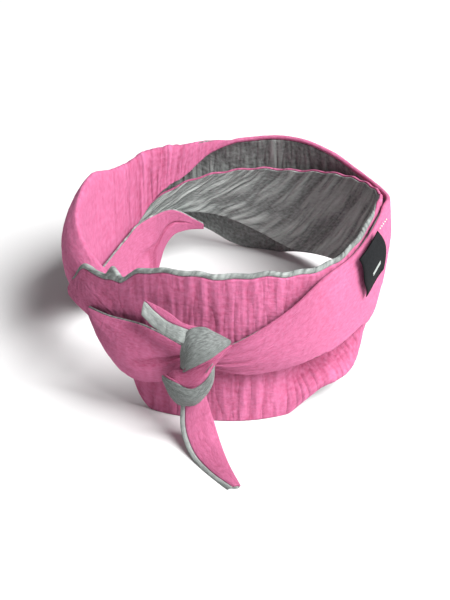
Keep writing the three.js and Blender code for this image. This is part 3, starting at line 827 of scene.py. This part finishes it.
def label_point(across, down, lift):
    """A point of the label, shares across from its left edge and down from the hem, mm in front
    of its back. The tape is skewed, bows outwards, bulges at its right and waves at its left."""
    left = ring_point(*LABEL_HEM_LEFT)
    right = ring_point(*LABEL_HEM_RIGHT)
    along = (right - left) / np.linalg.norm(right - left)
    middle = (left + right) / 2
    inward = (RING_CENTRE - middle) * (1, 1, 0)
    inward -= inward @ along * along
    inward /= np.linalg.norm(inward)
    up = np.cross(along, inward)
    lean = math.radians(LABEL_LEAN_DEG)
    hang = -up * math.cos(lean) - inward * math.sin(lean)
    front = -inward * math.cos(lean) + up * math.sin(lean)
    half = np.linalg.norm(right - left) / 2
    bulge = LABEL_BULGE * across * np.sin(math.pi * down)
    wave = LABEL_WAVE * (1 - across) * np.sin(9 * down)
    bow = LABEL_BOW * np.sin(math.pi * down) + LABEL_TWIST * np.sin(4 * across + 2 * down)
    x = (2 * across - 1) * half - LABEL_SKEW * down + bulge + wave
    z = LABEL_LENGTH * down
    y = bow + lift
    return middle + x[..., None] * along + z[..., None] * hang + y[..., None] * front


def label_patch(name, across, down, back, front, material):
    """A closed patch over the label, from one height above its back to another."""
    return make_shell(name, label_point(across, down, front),
                      label_point(across, down, back + 0 * front), [], material)


def stitched(name, points, fronts, radius, material):
    """A run of stitches, each a closed swelling of thread from one point to the next."""
    vertices = []
    faces = []
    for start, end, front in zip(points[::2], points[1::2], fronts[::2]):
        travel = (end - start) / np.linalg.norm(end - start)
        side = np.cross(travel, front)
        first = len(vertices)
        for ring in range(STITCH_RINGS):
            share = (ring + 0.5) / STITCH_RINGS
            swell = radius * math.sin(math.pi * share) ** 0.5
            for k in range(STITCH_SIDES):
                turn = 2 * math.pi * k / STITCH_SIDES
                offset = swell * (math.cos(turn) * side + math.sin(turn) * front)
                vertices.append(start + share * (end - start) + offset)
        for ring in range(STITCH_RINGS - 1):
            for k in range(STITCH_SIDES):
                a = first + ring * STITCH_SIDES + k
                b = first + ring * STITCH_SIDES + (k + 1) % STITCH_SIDES
                faces.append((a, b, b + STITCH_SIDES, a + STITCH_SIDES))
        last = first + (STITCH_RINGS - 1) * STITCH_SIDES
        faces.append(tuple(range(first, first + STITCH_SIDES))[::-1])
        faces.append(tuple(range(last, last + STITCH_SIDES)))
    mesh = bpy.data.meshes.new(name)
    mesh.from_pydata([tuple(point * MM) for point in vertices], [], faces)
    return add_piece(name, mesh, material)


def add_label():
    share = np.linspace(0, 1, LABEL_CELLS)
    down, across = np.meshgrid(share, share, indexing="ij")
    to_edge = np.minimum(np.minimum(across, 1 - across), 1 - down) * LABEL_LENGTH
    thick = LABEL_THICK * (SEAM_THINNESS + (1 - SEAM_THINNESS) * ease(to_edge, 0, LABEL_EDGE_ROUND))
    tape_piece = label_patch("label_cloth", across, down, 0, thick, LABEL_CLOTH)
    mark = LABEL_MARK
    place = mark["across"] + mark["width"] * (across - 0.5)
    drop = mark["down"] + mark["height"] * (down - 0.5)
    print_height = LABEL_THICK + mark["thick"] + 0 * down
    mark_piece = label_patch("label_emblem", place, drop, LABEL_THICK - SUNK, print_height, MARK_CLOTH)
    ends = np.linspace(0.1, 0.9, 2 * LABEL_THREAD_STITCHES + 1)[:-1]
    line = label_point(ends, LABEL_THREAD_DOWN + 0 * ends, LABEL_THICK + SUNK + 0 * ends)
    front = np.cross(line[-1] - line[0], label_point(ends, 1 + 0 * ends, 0 * ends)[0] - line[0])
    front /= -np.linalg.norm(front)
    stitch_piece = stitched("label_thread_line", line, [front] * len(line), LABEL_THREAD_RADIUS,
                            BLACK_THREAD)
    for piece, node, slot in ((tape_piece, "label_tape", "label_tape"),
                              (mark_piece, "label_mark", "lining_cloth"),
                              (stitch_piece, "label_stitch", "label_thread")):
        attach(piece, "label")
        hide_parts(node)


def add_closing_stitch():
    start = ring_point(*CLOSING_STITCH_FROM)
    end = ring_point(*CLOSING_STITCH_TO)
    share = np.linspace(0, 1, 2 * CLOSING_STITCHES + 1)[:-1, None]
    points = start + share * (end - start)
    front = (start - RING_CENTRE) * (1, 1, 0)
    front /= np.linalg.norm(front)
    piece = stitched("seam_thread", points, [front] * len(points), CLOSING_THREAD_RADIUS, CREAM_THREAD)
    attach(piece, "headband")
    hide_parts("closing_stitch")


def add_floor():
    mesh = bpy.data.meshes.new("floor")
    half = FLOOR_HALF
    corners = [(-half, -half, 0), (half, -half, 0), (half, half, 0), (-half, half, 0)]
    mesh.from_pydata(corners, [], [(0, 1, 2, 3)])
    material, shader = new_material("pale_floor")
    shader.inputs["Base Color"].default_value = FLOOR_COLOUR
    shader.inputs["Roughness"].default_value = 0.9
    mesh.materials.append(material)
    floor = bpy.data.objects.new("floor", mesh)
    floor.location.z = -FLOOR_DROP
    bpy.context.scene.collection.objects.link(floor)


def add_area_light(name, place, power, size):
    light = bpy.data.lights.new(name, "AREA")
    light.energy = power
    light.size = size
    lamp = bpy.data.objects.new(name, light)
    lamp.location = place
    aim = -lamp.location
    lamp.rotation_euler = aim.to_track_quat("-Z", "Y").to_euler()
    bpy.context.scene.collection.objects.link(lamp)


def add_studio():
    add_area_light("key", **KEY_LIGHT)
    world = bpy.data.worlds.new("studio")
    world.use_nodes = True
    world.node_tree.nodes["Background"].inputs["Color"].default_value = (1, 1, 1, 1)
    world.node_tree.nodes["Background"].inputs["Strength"].default_value = SKY_STRENGTH
    bpy.context.scene.world = world
    bpy.context.scene.view_settings.view_transform = "Standard"


def add_camera():
    data = bpy.data.cameras.new("camera")
    data.lens = CAMERA_LENS
    data.sensor_width = CAMERA_SENSOR
    camera = bpy.data.objects.new("camera", data)
    tip = math.radians(CAMERA_ELEVATION_DEG)
    target = np.array(CAMERA_TARGET) * MM
    camera.location = target + CAMERA_DISTANCE * MM * np.array([0, -math.cos(tip), math.sin(tip)])
    camera.rotation_euler = (math.pi / 2 - tip, 0, 0)
    bpy.context.scene.collection.objects.link(camera)
    bpy.context.scene.camera = camera


add_camera()
add_studio()
add_floor()
add_inner_wrap()
add_outer_wrap()
add_left_arm()
add_inner_left_fold()
add_knot()
add_tails()
add_label()
add_closing_stitch()
